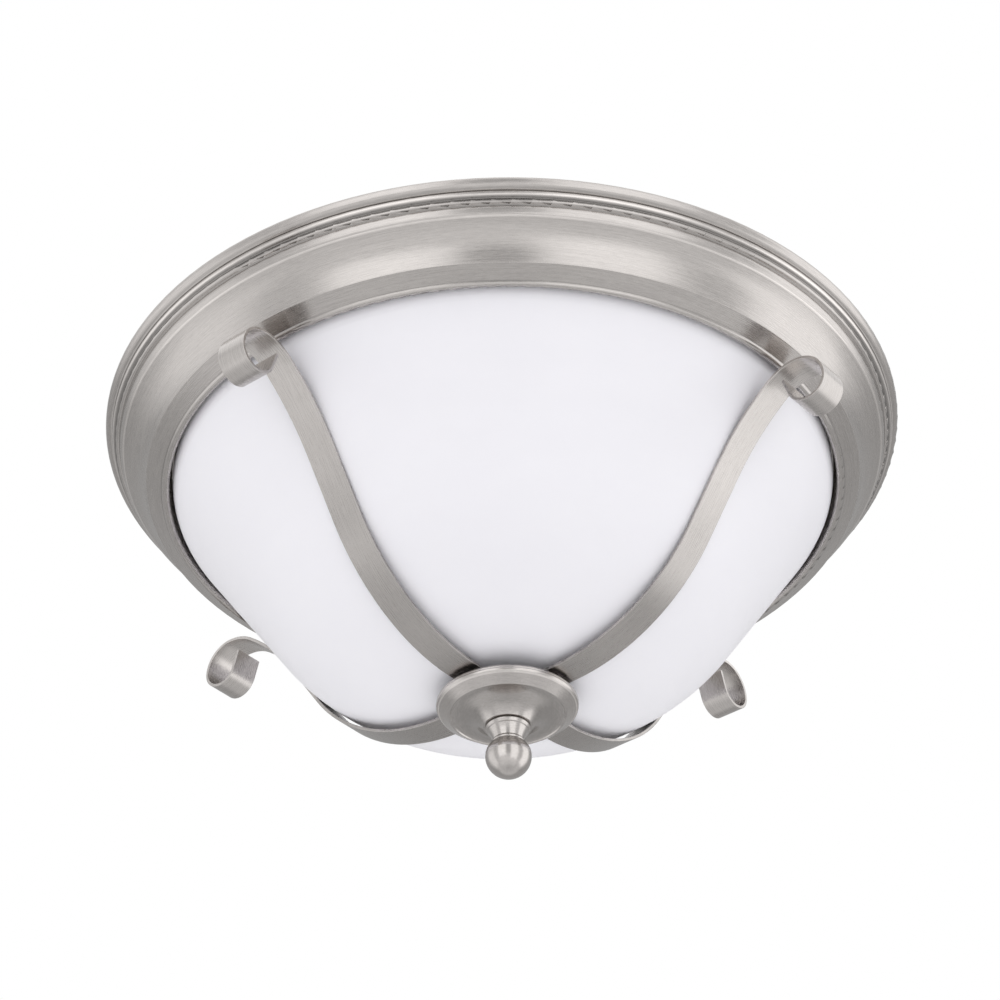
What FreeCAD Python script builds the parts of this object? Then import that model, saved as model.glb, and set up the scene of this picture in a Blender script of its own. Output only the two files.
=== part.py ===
"""Flush mount ceiling light: spun pan, opal glass bowl, four scrolled straps, cup and ball finial.

Millimetres. +Z is up. The origin is the centre of the light on the ceiling plane, so that the
whole light hangs below z = 0. The four straps lie along +X, +Y, -X and -Y, and the crossbar
lies along X.
"""
import FreeCAD, Part
import math
import os

# ---- pan: one spun sheet, widest at the ceiling --------------------------------------------
PAN_R = 190.5                 # 15 inch fixture
PAN_SHEET = 0.8
HEM_WIDTH = 4.5               # the rim's edge is turned in flat against the ceiling
BAND_FOOT = (187.6, -4.8)     # foot of the first band
BEAD_2_CREST = (187.3, -6.1)
BEAD_2_FOOT = (186.0, -7.4)
BEAD_3_HEAD = (185.4, -8.2)
BEAD_3_FOOT = (183.8, -9.9)
BAND_4_HEAD = (183.2, -10.3)
BAND_4_FOOT = (181.5, -14.8)
COVE_HEAD = (180.9, -15.2)
COVE_MID = (173.9, -21.8)
COVE_FOOT = (169.9, -30.9)
RING_INNER = (162.5, -35.1)   # the flat ring that faces down, slightly coned
LIP_CREST = (160.6, -36.7)
LIP_R = 158.7                 # mouth that the glass enters
LIP_Z = -35.2
PLATE_Z = -25.0               # underside of the flat middle of the pan
GROOVE = 0.5                  # depth of the grooves between the beads

# ---- glass bowl -----------------------------------------------------------------------------
GLASS = 4.0
BOWL_BOTTOM_Z = -142.9
BOWL_HOLE_R = 6.4
DOME_R = 430.0                # nearly flat bottom
DOME_ANGLE = 5.4
TURN_R = 99.4                 # from the bottom into the side
SIDE_ANGLE = 55.1             # slope of the straight side
SIDE_LENGTH = 73.3
RIM_TURN_R = 15.0             # from the side to the upright rim
RIM_HEIGHT = 3.7

# ---- straps ---------------------------------------------------------------------------------
STRAP_WIDTH = 15.0
STRAP = 1.5
STRAP_START_R = 9.0
STRAP_TOP_Z = -144.5          # glass-side face of the straps under the bowl
STRAP_FLAT = 23.6
STRAP_SWEEP_R = 93.5
STRAP_RISE = 55.5             # degrees
STRAP_STRAIGHT = 32.4
STRAP_FLARE_R = 126.0
STRAP_FLARE = 19.5
SCROLL_RADII = (25.0, 15.0, 10.0)
SCROLL_TURNS = (36.0, 90.0, 162.0)
SCROLL_TAIL = 9.5
STRAP_EDGE = 0.25             # rounded long edges

# ---- hub, cup and finial --------------------------------------------------------------------
HUB_R = 23.0
HUB = 1.5
RIVET_R = 1.9
RIVET_PLACES = (13.0, 18.5)
ROD_R = 5.1                   # 1/8 IP threaded tube
ROD_TOP_Z = -11.0
ROD_END_Z = -169.3
CUP_SHEET = 1.0
CUP_TOP_Z = -147.7
FINIAL_TOP_Z = -160.8
FINIAL_BORE_R = ROD_R + 0.06
FINIAL_BORE_END_Z = -172.3
BALL_R = 10.5
BALL_Z = -176.1

# ---- mounting -------------------------------------------------------------------------------
BAR_LENGTH = 118.0
BAR_WIDTH = 20.0
BAR = 2.5
BOX_SPACING = 88.9            # 3 1/2 inch ceiling box
BOX_SLOT_R = 2.3
BOX_SLOT_LENGTH = 12.0
STUD_X = 30.0
STUD_R = 2.0                  # No. 8 machine screws
STUD_END_Z = -33.0
KEYHOLE_SWING = 20.0          # degrees from the stud to the wide end of its keyhole
GROUND_X = 17.0
EARTH_POINT = (24.0, 84.0)

# ---- sockets and lamps ----------------------------------------------------------------------
LAMP_Y = 38.0
LAMP_Z = -57.0
LAMP_TIP_X = -55.0
SOCKET_BACK_X = -62.0
SOCKET_MOUTH_X = -30.0
SOCKET_R = 20.0
SHELL_R = 13.9                # outside of the socket's screw shell
SHELL = 0.45
BASE_R = 13.05                # E26 lamp base
LAMP_CAP_END_X = -34.0        # where the lamp's metal cap meets its glass
GLOBE_R = 30.0                # A19 lamp
GLOBE_X = 21.0
GLOBE_WALL = 0.8
BRACKET = 1.2
GROMMET = (-88.0, 38.0)
GROMMET_HOLE_R = 6.0
LEAD_R = 1.1
CAVITY_LEAD_Z = -12.0

PAD_INNER_R = 108.0
PAD_OUTER_R = 150.0
PAD_HEIGHT = 12.0

UP = FreeCAD.Vector(0, 0, 1)
ALONG_X = FreeCAD.Vector(1, 0, 0)
ORIGIN = FreeCAD.Vector(0, 0, 0)


def vec(x, y, z):
    return FreeCAD.Vector(x, y, z)


def save(name, shape):
    """Write one sub-part and refuse a solid that isn't closed."""
    if not shape.isValid():
        raise ValueError(name + " is not valid")
    if shape.Volume <= 0:
        raise ValueError(name + " has no volume")
    shape.exportStep("parts/" + name + ".step")
    print("%-22s %10.1f mm3  %d solid(s)" % (name, shape.Volume, len(shape.Solids)))


# ---- profiles in the (radius, height) plane -------------------------------------------------
def outline(start, moves):
    """Closed face from straight moves (r, z) and arc moves (r_via, z_via, r, z)."""
    edges = []
    here = vec(start[0], 0, start[1])
    for move in moves:
        there = vec(move[-2], 0, move[-1])
        if len(move) == 4:
            edges.append(Part.Arc(here, vec(move[0], 0, move[1]), there).toShape())
        else:
            edges.append(Part.makeLine(here, there))
        here = there
    if here.distanceToPoint(vec(start[0], 0, start[1])) > 1e-6:
        edges.append(Part.makeLine(here, vec(start[0], 0, start[1])))
    return Part.Face(Part.Wire(edges))


def walk(start, heading, moves):
    """Points of a smooth path of straights (length,) and arcs (radius, turn); left turns are positive.

    Gives one (point, via, heading) per move, and the start first.
    """
    stops = [(start, None, heading)]
    x, z = start
    for move in moves:
        angle = math.radians(heading)
        if len(move) == 1:
            x += move[0] * math.cos(angle)
            z += move[0] * math.sin(angle)
            stops.append(((x, z), None, heading))
            continue
        radius, turn = move
        side = 1 if turn > 0 else -1
        centre_x = x - side * radius * math.sin(angle)
        centre_z = z + side * radius * math.cos(angle)
        points = []
        for part in (0.5, 1.0):
            at = math.radians(heading + turn * part)
            points.append((centre_x + side * radius * math.sin(at),
                           centre_z - side * radius * math.cos(at)))
        heading += turn
        x, z = points[1]
        stops.append(((x, z), points[0], heading))
    return stops


def band(start, heading, moves, thickness):
    """Face of even thickness on the left of a smooth path, or on its right if negative."""
    near = walk(start, heading, moves)
    angle = math.radians(heading)
    other_start = (start[0] - thickness * math.sin(angle), start[1] + thickness * math.cos(angle))
    other_moves = []
    for move in moves:
        if len(move) == 1:
            other_moves.append(move)
        else:
            inward = thickness if move[1] > 0 else -thickness
            other_moves.append((move[0] - inward, move[1]))
    far = walk(other_start, heading, other_moves)
    moves_out = []
    for point, via, _ in near[1:]:
        moves_out.append(point if via is None else via + point)
    moves_out.append(far[-1][0])
    for index in range(len(far) - 1, 0, -1):
        via = far[index][1]
        point = far[index - 1][0]
        moves_out.append(point if via is None else via + point)
    return outline(start, moves_out)


def spin(face):
    """Solid of revolution about the vertical axis."""
    return face.revolve(ORIGIN, UP, 360)


def spin_lamp(face):
    """Solid of revolution about the first lamp's axis, from a profile whose height is its x."""
    solid = face.revolve(ORIGIN, UP, 360)
    solid.rotate(ORIGIN, vec(0, 1, 0), 90)
    solid.translate(vec(0, LAMP_Y, LAMP_Z))
    return solid


def ring(inner, outer, bottom, top):
    solid = Part.makeCylinder(outer, top - bottom, vec(0, 0, bottom))
    if inner:
        solid = solid.cut(Part.makeCylinder(inner, top - bottom, vec(0, 0, bottom)))
    return solid


def hexagon(across_flats, bottom, top, bore):
    radius = across_flats / math.sqrt(3)
    corners = [vec(radius * math.cos(math.radians(60 * i)), radius * math.sin(math.radians(60 * i)), bottom)
               for i in range(7)]
    prism = Part.Face(Part.makePolygon(corners)).extrude(vec(0, 0, top - bottom))
    trim = Part.makeCone(radius + (top - bottom), radius - 0.5, top - bottom, vec(0, 0, bottom))
    nut = prism.common(trim)
    if bore:
        nut = nut.cut(Part.makeCylinder(bore, top - bottom, vec(0, 0, bottom)))
    return nut


def moved(shape, x, y, z=0.0):
    copy = shape.copy()
    copy.translate(vec(x, y, z))
    return copy


def half_turn(shape):
    """The same piece on the opposite side of the light."""
    copy = shape.copy()
    copy.rotate(ORIGIN, UP, 180)
    return copy


def tube_along(points, radius):
    """Lead of round section: straight runs joined by the largest arcs that the runs allow."""
    vectors = [vec(*p) for p in points]
    runs = [(b - a).Length for a, b in zip(vectors, vectors[1:])]
    edges = []
    radii = []
    here = vectors[0]
    for i in range(1, len(vectors) - 1):
        back = (vectors[i - 1] - vectors[i]).normalize()
        ahead = (vectors[i + 1] - vectors[i]).normalize()
        turn = math.pi - back.getAngle(ahead)
        reach = 0.45 * min(runs[i - 1], runs[i])
        bend = reach / math.tan(turn / 2)
        radii.append(bend)
        enter = vectors[i] + back * reach
        leave = vectors[i] + ahead * reach
        middle = (back + ahead).normalize()
        top = vectors[i] + middle * (bend / math.cos(turn / 2) - bend)
        edges.append(Part.LineSegment(here, enter).toShape())
        edges.append(Part.Arc(enter, top, leave).toShape())
        here = leave
    edges.append(Part.LineSegment(here, vectors[-1]).toShape())
    path = Part.Wire(edges)
    first = (vectors[1] - vectors[0]).normalize()
    section = Part.Wire(Part.makeCircle(radius, vectors[0], first))
    solid = path.makePipeShell([section], True, False)
    expected = math.pi * radius ** 2 * path.Length
    print("lead %.1f mm, radii %s, volume %.3f of section x length"
          % (path.Length, ", ".join("%.1f" % r for r in radii), solid.Volume / expected))
    return solid


# ---- pan ------------------------------------------------------------------------------------
def canopy_pan():
    def grooved(point):
        return (point[0] - GROOVE, point[1] - 0.15)

    face = outline((PAN_R - HEM_WIDTH, 0), [
        (PAN_R - 0.6, 0),
        (PAN_R, -0.6),
        (PAN_R - 0.5, -3.2) + BAND_FOOT,
        grooved(BAND_FOOT),
        BEAD_2_CREST + BEAD_2_FOOT,
        grooved(BEAD_2_FOOT),
        (BEAD_3_HEAD[0] - GROOVE, BEAD_3_HEAD[1] + 0.2),
        BEAD_3_HEAD,
        (BEAD_3_HEAD[0] - 0.1, -9.3) + BEAD_3_FOOT,
        BAND_4_HEAD,
        (BAND_4_HEAD[0] - 0.3, -13.0) + BAND_4_FOOT,
        COVE_HEAD,
        COVE_MID + (COVE_FOOT[0], COVE_FOOT[1] + 0.4),
        (COVE_FOOT[0] - 0.1, COVE_FOOT[1]) + (COVE_FOOT[0] - 0.5, COVE_FOOT[1] - 0.2),
        RING_INNER,
        LIP_CREST + (LIP_R, LIP_Z),
        (LIP_R, PLATE_Z - 1.0),
        (LIP_R - 0.3, PLATE_Z - 0.3) + (LIP_R - 1.0, PLATE_Z),
        (ROD_R + 0.2, PLATE_Z),
        (ROD_R + 0.2, PLATE_Z + PAN_SHEET),
        (LIP_R, PLATE_Z + PAN_SHEET),
        (LIP_R + PAN_SHEET, PLATE_Z),
        (LIP_R + PAN_SHEET, LIP_Z + 0.6),
        (RING_INNER[0] - 0.2, RING_INNER[1] + 0.7),
        (COVE_FOOT[0] - 0.9, COVE_FOOT[1] + 0.6),
        (COVE_MID[0] - 0.75, COVE_MID[1] + 0.6) + (COVE_HEAD[0] - 1.1, COVE_HEAD[1] + 0.7),
        (BAND_4_HEAD[0] - 1.2, BAND_4_HEAD[1] + 0.6),
        (BEAD_3_HEAD[0] - 1.5, BEAD_3_HEAD[1] + 0.9),
        (BEAD_2_FOOT[0] - 1.3, BEAD_2_FOOT[1] + 0.9),
        (BAND_FOOT[0] - 1.3, BAND_FOOT[1] + 0.7),
        (PAN_R - 1.1, -PAN_SHEET),
        (PAN_R - HEM_WIDTH, -PAN_SHEET),
    ])
    pan = spin(face)
    drill_z = PLATE_Z - 1
    drill = PAN_SHEET + 2
    swing = math.radians(KEYHOLE_SWING)
    for side in (1, -1):
        narrow = Part.makeCylinder(STUD_R + 0.4, drill, vec(side * STUD_X, 0, drill_z))
        wide_x = side * STUD_X * math.cos(swing)
        wide_y = side * STUD_X * math.sin(swing)
        wide = Part.makeCylinder(5.0, drill, vec(wide_x, wide_y, drill_z))
        slot = Part.makeBox(2 * STUD_R + 0.8, math.hypot(wide_x - side * STUD_X, wide_y), drill,
                            vec(-STUD_R - 0.4, 0, drill_z))
        slot.rotate(ORIGIN, UP, math.degrees(math.atan2(wide_y, wide_x - side * STUD_X)) - 90)
        slot.translate(vec(side * STUD_X, 0, 0))
        grommet_foot = vec(side * GROMMET[0], side * GROMMET[1], drill_z)
        grommet_hole = Part.makeCylinder(GROMMET_HOLE_R, drill, grommet_foot)
        pan = pan.cut(narrow.fuse([wide, slot])).cut(grommet_hole)
        for x, y in bracket_screw_places():
            pan = pan.cut(Part.makeCylinder(1.7, drill, vec(side * x, side * y, drill_z)))
    pan = pan.cut(Part.makeCylinder(1.9, drill, vec(EARTH_POINT[0], EARTH_POINT[1], drill_z)))
    return pan.removeSplitter()


def insulation_pad():
    """Heat shield ring that lies on the pan, round the wiring space."""
    bottom = PLATE_Z + PAN_SHEET
    face = outline((PAD_INNER_R, bottom), [
        (PAD_INNER_R, bottom + PAD_HEIGHT - 3),
        (PAD_INNER_R + 0.9, bottom + PAD_HEIGHT - 0.9, PAD_INNER_R + 3, bottom + PAD_HEIGHT),
        (PAD_OUTER_R - 3, bottom + PAD_HEIGHT),
        (PAD_OUTER_R - 0.9, bottom + PAD_HEIGHT - 0.9, PAD_OUTER_R, bottom + PAD_HEIGHT - 3),
        (PAD_OUTER_R, bottom),
    ])
    return spin(face)


# ---- mounting hardware ----------------------------------------------------------------------
def crossbar():
    bar = Part.makeBox(BAR_LENGTH, BAR_WIDTH, BAR, vec(-BAR_LENGTH / 2, -BAR_WIDTH / 2, -BAR))
    bar = bar.makeFillet(6.0, [e for e in bar.Edges if abs(e.tangentAt(e.FirstParameter).z) > 0.9])
    straight = BOX_SLOT_LENGTH - 2 * BOX_SLOT_R
    for side in (1, -1):
        centre = side * BOX_SPACING / 2
        slot = Part.makeBox(straight, 2 * BOX_SLOT_R, BAR, vec(centre - straight / 2, -BOX_SLOT_R, -BAR))
        for end in (centre - straight / 2, centre + straight / 2):
            slot = slot.fuse(Part.makeCylinder(BOX_SLOT_R, BAR, vec(end, 0, -BAR)))
        bar = bar.cut(slot)
        bar = bar.cut(Part.makeCylinder(STUD_R, BAR, vec(side * STUD_X, 0, -BAR)))
    bar = bar.cut(Part.makeCylinder(2.4, BAR, vec(GROUND_X, 0, -BAR)))
    return bar.removeSplitter()


def ground_screw():
    """Green hexagon screw under the crossbar, with a slot across its head."""
    head = hexagon(9.0, -BAR - 3.4, -BAR, 0)
    head = head.cut(Part.makeBox(12, 1.4, 1.4, vec(-6, -0.7, -BAR - 3.4)))
    screw = head.fuse(Part.makeCylinder(2.4, BAR - 0.2, vec(0, 0, -BAR)))
    return moved(screw, GROUND_X, 0)


def pan_studs():
    stud = Part.makeCylinder(STUD_R, -0.2 - STUD_END_Z, vec(0, 0, STUD_END_Z))
    return Part.makeCompound([moved(stud, STUD_X, 0), moved(stud, -STUD_X, 0)])


def stud_nuts():
    nut = hexagon(8.6, -BAR - 3.2, -BAR, STUD_R)
    return Part.makeCompound([moved(nut, STUD_X, 0), moved(nut, -STUD_X, 0)])


def cap_nuts():
    """Knurled brass nuts that clamp the pan to the studs."""
    top = PLATE_Z
    body = Part.makeCylinder(6.5, 5.0, vec(0, 0, top - 5.0))
    for i in range(24):
        angle = math.radians(15 * i)
        cutter = Part.makeCylinder(0.45, 5.0, vec(6.5 * math.cos(angle), 6.5 * math.sin(angle), top - 5.0))
        body = body.cut(cutter)
    nut = body.fuse(Part.makeCylinder(4.2, 5.5, vec(0, 0, top - 10.5)))
    nut = nut.cut(Part.makeCylinder(STUD_R, 9.3, vec(0, 0, top - 9.3)))
    return Part.makeCompound([moved(nut, STUD_X, 0), moved(nut, -STUD_X, 0)])


def threaded_rod():
    """Threaded tube that the finial screws on to; the thread is left plain."""
    bore = 3.4
    return spin(outline((bore, ROD_END_Z), [
        (ROD_R - 0.5, ROD_END_Z),
        (ROD_R, ROD_END_Z + 0.5),
        (ROD_R, ROD_TOP_Z - 0.5),
        (ROD_R - 0.5, ROD_TOP_Z),
        (bore, ROD_TOP_Z),
    ]))


def rod_nut(top):
    return hexagon(14.3, top - 3.2, top, ROD_R)


def rod_washer():
    """Toothed lock washer under the upper nut."""
    bottom = PLATE_Z + PAN_SHEET
    washer = ring(ROD_R + 0.1, 8.6, bottom, bottom + 0.9)
    for i in range(12):
        angle = 30 * i
        notch = Part.makeBox(1.6, 1.1, 0.9, vec(7.4, -0.55, bottom))
        notch.rotate(ORIGIN, UP, angle)
        washer = washer.cut(notch)
    return washer


# ---- sockets --------------------------------------------------------------------------------
def bracket_screw_places():
    return ((SOCKET_BACK_X + 11, LAMP_Y - 9), (SOCKET_BACK_X + 11, LAMP_Y + 9))


def socket_bracket():
    """Bent sheet: a foot on the pan's plate and a leg that carries the socket by its back."""
    foot_top = PLATE_Z
    width = 30.0
    corner_x = SOCKET_BACK_X - BRACKET
    corner_y = LAMP_Y - width / 2
    foot = Part.makeBox(24, width, BRACKET, vec(corner_x, corner_y, foot_top - BRACKET))
    leg_height = foot_top - LAMP_Z + 14
    leg = Part.makeBox(BRACKET, width, leg_height, vec(corner_x, corner_y, foot_top - leg_height))
    bracket = foot.fuse(leg).removeSplitter()
    lower = [e for e in bracket.Edges
             if abs(e.BoundBox.ZMin - (foot_top - leg_height)) < 1e-6 and abs(e.Length - BRACKET) < 1e-6]
    bracket = bracket.makeFillet(6.0, lower) if lower else bracket
    for dy in (-6.0, 6.0):
        hole = Part.makeCylinder(LEAD_R + 0.6, 4, vec(SOCKET_BACK_X - 3, LAMP_Y + dy, LAMP_Z), ALONG_X)
        bracket = bracket.cut(hole)
    for dz in (-10.0, 10.0):
        hole = Part.makeCylinder(1.7, 4, vec(SOCKET_BACK_X - 3, LAMP_Y, LAMP_Z + dz), ALONG_X)
        bracket = bracket.cut(hole)
    for x, y in bracket_screw_places():
        bracket = bracket.cut(Part.makeCylinder(1.7, 4, vec(x, y, foot_top - 3)))
    return bracket


def bracket_screws():
    """Pan-head screws through the plate: two for each bracket."""
    screws = []
    for x, y in bracket_screw_places():
        shank = Part.makeCylinder(1.7, PAN_SHEET + BRACKET + 1.5, vec(x, y, PLATE_Z - BRACKET - 1.5))
        head = Part.makeCylinder(3.4, 1.8, vec(x, y, PLATE_Z + PAN_SHEET))
        head = head.cut(Part.makeBox(8, 0.8, 0.9, vec(x - 4, y - 0.4, PLATE_Z + PAN_SHEET + 0.9)))
        screws.append(shank.fuse(head))
    screws += [half_turn(s) for s in screws]
    return Part.makeCompound(screws)


def socket_screws():
    """Screws from the back of the leg into the porcelain."""
    screws = []
    for dz in (-10.0, 10.0):
        back = SOCKET_BACK_X - BRACKET
        shank = Part.makeCylinder(1.7, BRACKET + 4.0, vec(back, LAMP_Y, LAMP_Z + dz), ALONG_X)
        head = Part.makeCylinder(3.2, 1.8, vec(back - 1.8, LAMP_Y, LAMP_Z + dz), ALONG_X)
        head = head.cut(Part.makeBox(0.9, 0.8, 8, vec(back - 1.8, LAMP_Y - 0.4, LAMP_Z + dz - 4)))
        screws.append(shank.fuse(head))
    screws += [half_turn(s) for s in screws]
    return Part.makeCompound(screws)


def socket_body():
    """Glazed porcelain lampholder with a stepped rim."""
    back = SOCKET_BACK_X
    mouth = SOCKET_MOUTH_X
    face = outline((0, back), [
        (SOCKET_R - 3, back),
        (SOCKET_R - 2.1, back + 0.9, SOCKET_R - 1.8, back + 2),
        (SOCKET_R - 1.8, back + 14),
        (SOCKET_R, back + 16),
        (SOCKET_R, mouth - 1.5),
        (SOCKET_R - 0.45, mouth - 0.45, SOCKET_R - 1.5, mouth),
        (SHELL_R + 1.0, mouth),
        (SHELL_R, mouth - 1.0),
        (SHELL_R, LAMP_TIP_X - 2.0),
        (0, LAMP_TIP_X - 2.0),
    ])
    body = spin_lamp(face)
    for dz in (-10.0, 10.0):
        body = body.cut(Part.makeCylinder(1.7, 4.0, vec(back, LAMP_Y, LAMP_Z + dz), ALONG_X))
    for dy in (-6.0, 6.0):
        body = body.cut(Part.makeCylinder(LEAD_R + 0.4, 2.0, vec(back, LAMP_Y + dy, LAMP_Z), ALONG_X))
    return body


def socket_shell():
    """Screw shell pressed into the porcelain."""
    back = LAMP_TIP_X - 2.0
    face = outline((6.5, back), [
        (SHELL_R, back),
        (SHELL_R, SOCKET_MOUTH_X - 2.5),
        (SHELL_R - SHELL, SOCKET_MOUTH_X - 2.5),
        (SHELL_R - SHELL, back + SHELL),
        (6.5, back + SHELL),
    ])
    return spin_lamp(face)


def socket_contact():
    """Spring leaf that meets the lamp's tip."""
    back = LAMP_TIP_X - 2.0
    leaf = Part.makeBox(0.4, 5.0, 9.0, vec(back, LAMP_Y - 2.5, LAMP_Z - 4.5))
    button = Part.makeCylinder(2.0, 1.4, vec(back + 0.4, LAMP_Y, LAMP_Z), ALONG_X)
    return leaf.fuse(button)


def grommet():
    """Rubber bush in the hole that a socket's two leads pass through."""
    middle = PLATE_Z + PAN_SHEET / 2
    bore = 4.5
    face = outline((bore, middle - 2.4), [
        (7.6, middle - 2.4),
        (8.2, middle - 1.4, 7.6, middle - PAN_SHEET / 2),
        (GROMMET_HOLE_R, middle - PAN_SHEET / 2),
        (GROMMET_HOLE_R, middle + PAN_SHEET / 2),
        (7.6, middle + PAN_SHEET / 2),
        (8.2, middle + 1.4, 7.6, middle + 2.4),
        (bore, middle + 2.4),
    ])
    return moved(spin(face), GROMMET[0], GROMMET[1])


# ---- lamps ----------------------------------------------------------------------------------
def lamp_tip():
    """Solder contact and glass insulator: round, on the lamp's axis."""
    x = LAMP_TIP_X
    face = outline((0, x), [(2.0, x + 0.2, 4.0, x + 1.4), (4.6, x + 1.6), (9.6, x + 4.6), (0, x + 4.6)])
    return spin_lamp(face)


def lamp_base():
    """Threaded cap: three rounded turns stand out of a plain sleeve."""
    start = LAMP_TIP_X + 4.6
    pitch = 3.63
    moves = [(9.8, start), (BASE_R - 0.8, start + 2.2)]
    crest = start + 2.2
    for _ in range(3):
        moves.append((BASE_R, crest + pitch / 2, BASE_R - 0.8, crest + pitch))
        crest += pitch
    moves += [(BASE_R - 0.2, crest + 0.8), (BASE_R - 0.2, LAMP_CAP_END_X), (0, LAMP_CAP_END_X)]
    return spin_lamp(outline((0, start), moves))


def lamp_globe():
    """Frosted bulb: neck, shoulder and ball, hollow."""
    start = LAMP_CAP_END_X

    def bulb(wall):
        ball = GLOBE_R - wall
        shoulder_x = 0.0
        shoulder = math.sqrt(ball ** 2 - (GLOBE_X - shoulder_x) ** 2)
        return outline((0, start + wall), [
            (12.9 - wall, start + wall),
            (15.4 - wall, -15.0, shoulder, shoulder_x),
            (ball, GLOBE_X, 0, GLOBE_X + ball),
        ])
    return spin_lamp(bulb(0.0)).cut(spin_lamp(bulb(GLOBE_WALL)))


# ---- wiring ---------------------------------------------------------------------------------
def lead_direct():
    """Black lead of the first socket: through the grommet, then straight to its connector."""
    x, y = GROMMET
    z = CAVITY_LEAD_Z
    return tube_along([
        (SOCKET_BACK_X + 1.5, LAMP_Y - 6.0, LAMP_Z),
        (x - 0.6, y - 2.2, LAMP_Z),
        (x - 0.6, y - 2.2, z),
        (x + 40, y + 1.5, z),
        (-9.0, 33.6, z),
    ], LEAD_R)


def lead_round():
    """White lead of the first socket: round the middle to the connector on the other side."""
    x, y = GROMMET
    z = CAVITY_LEAD_Z
    return tube_along([
        (SOCKET_BACK_X + 1.5, LAMP_Y + 6.0, LAMP_Z),
        (x, y + 2.2, LAMP_Z),
        (x, y + 2.2, z),
        (x + 34, y + 11.0, z),
        (-2.0, y + 14.0, z),
        (40.0, y + 9.0, z - 1.0),
        (57.0, y - 27.0, z),
        (50.0, -29.6, z),
        (9.0, -31.0, z),
    ], LEAD_R)


def wire_connector():
    """Twist-on connector: ribbed cone, closed at one end, over the ends of two leads."""
    length = 23.0
    face = outline((0, 0), [
        (6.6, 0), (6.9, 1.2, 6.6, 2.4), (4.9, length - 2.5),
        (4.2, length - 0.6, 2.8, length), (0, length),
    ])
    cone = spin(face)
    for i in range(12):
        groove = Part.makeCylinder(0.5, length - 6, vec(6.75, 0, 3.5))
        groove.rotate(vec(6.75, 0, 3.5), vec(0, 1, 0), -4.9)
        groove.rotate(ORIGIN, UP, 30 * i)
        cone = cone.cut(groove)
    cone = cone.cut(Part.makeCylinder(4.0, 8.0))
    cone.rotate(ORIGIN, vec(0, 1, 0), 90)
    cone.translate(vec(-14.0, 32.3, CAVITY_LEAD_Z))
    return cone


def earth_lead():
    """Green lead from the crossbar's ground screw to the pan."""
    x, y = EARTH_POINT
    return tube_along([
        (GROUND_X, 4.6, -BAR - 1.7),
        (GROUND_X - 0.5, 24.0, -BAR - 3.0),
        (GROUND_X + 1.5, 48.0, -BAR - 2.0),
        (GROUND_X + 5.0, 68.0, -BAR - 7.0),
        (x, y - 5.2, PLATE_Z + PAN_SHEET + 2.0),
    ], LEAD_R)


def earth_screw():
    """Screw and cup washer that hold the green lead to the pan."""
    x, y = EARTH_POINT
    top = PLATE_Z + PAN_SHEET
    washer = Part.makeCylinder(4.4, 0.8, vec(x, y, top))
    shank = Part.makeCylinder(1.9, 4.0, vec(x, y, top - 2.6))
    head = Part.makeCylinder(3.4, 2.2, vec(x, y, top + 0.8))
    head = head.cut(Part.makeBox(8, 0.8, 1.0, vec(x - 4, y - 0.4, top + 2.0)))
    return washer.fuse([shank, head])


# ---- glass, straps and hub ------------------------------------------------------------------
def bowl_walk():
    start_angle = math.asin(BOWL_HOLE_R / DOME_R)
    start_z = BOWL_BOTTOM_Z + DOME_R * (1 - math.cos(start_angle))
    first = math.degrees(start_angle)
    moves = [
        (DOME_R, DOME_ANGLE - first),
        (TURN_R, SIDE_ANGLE - DOME_ANGLE),
        (SIDE_LENGTH,),
        (RIM_TURN_R, 90.0 - SIDE_ANGLE),
        (RIM_HEIGHT,),
    ]
    return (BOWL_HOLE_R, start_z), first, moves


def glass_bowl():
    start, heading, moves = bowl_walk()
    rim = walk(start, heading, moves)[-1][0]
    print("bowl rim at r %.2f z %.2f" % rim)
    bowl = spin(band(start, heading, moves, GLASS))
    top_edges = [e for e in bowl.Edges if e.isClosed() and abs(e.BoundBox.ZMin - rim[1]) < 1e-3
                 and abs(e.BoundBox.ZMax - rim[1]) < 1e-3]
    return bowl.makeFillet(1.2, top_edges)


def glass_gasket():
    """Foam ring between the pan and the rim of the glass."""
    return ring(151.5, LIP_R - 1.3, PLATE_Z - 1.2, PLATE_Z)


def felt_washer():
    return ring(BOWL_HOLE_R, 17.0, STRAP_TOP_Z, BOWL_BOTTOM_Z)


def strap_moves():
    return [
        (STRAP_FLAT,),
        (STRAP_SWEEP_R, STRAP_RISE),
        (STRAP_STRAIGHT,),
        (STRAP_FLARE_R, -STRAP_FLARE),
        (SCROLL_RADII[0], -SCROLL_TURNS[0]),
        (SCROLL_RADII[1], -SCROLL_TURNS[1]),
        (SCROLL_RADII[2], -SCROLL_TURNS[2]),
        (SCROLL_TAIL,),
    ]


def strap():
    """Flat bar that follows the bowl, leaves it in an S-curve and ends in an open roll."""
    face = band((STRAP_START_R, STRAP_TOP_Z), 0.0, strap_moves(), -STRAP)
    face.translate(vec(0, -STRAP_WIDTH / 2, 0))
    bar = face.extrude(vec(0, STRAP_WIDTH, 0))
    flanks = [e for e in bar.Edges if abs(e.BoundBox.YMax - e.BoundBox.YMin) < 1e-6]
    bar = bar.makeFillet(STRAP_EDGE, flanks)
    for place in RIVET_PLACES:
        bar = bar.cut(Part.makeCylinder(RIVET_R, 4, vec(place, 0, STRAP_TOP_Z - 3)))
    return bar


def strap_hub():
    """Plate under the four straps; the rivets hold them to it."""
    top = STRAP_TOP_Z - STRAP
    hub = ring(ROD_R + 0.5, HUB_R, top - HUB, top)
    for side in range(4):
        for place in RIVET_PLACES:
            hole = Part.makeCylinder(RIVET_R, 4, vec(place, 0, top - 3))
            hole.rotate(ORIGIN, UP, 90 * side)
            hub = hub.cut(hole)
    return hub


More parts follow.
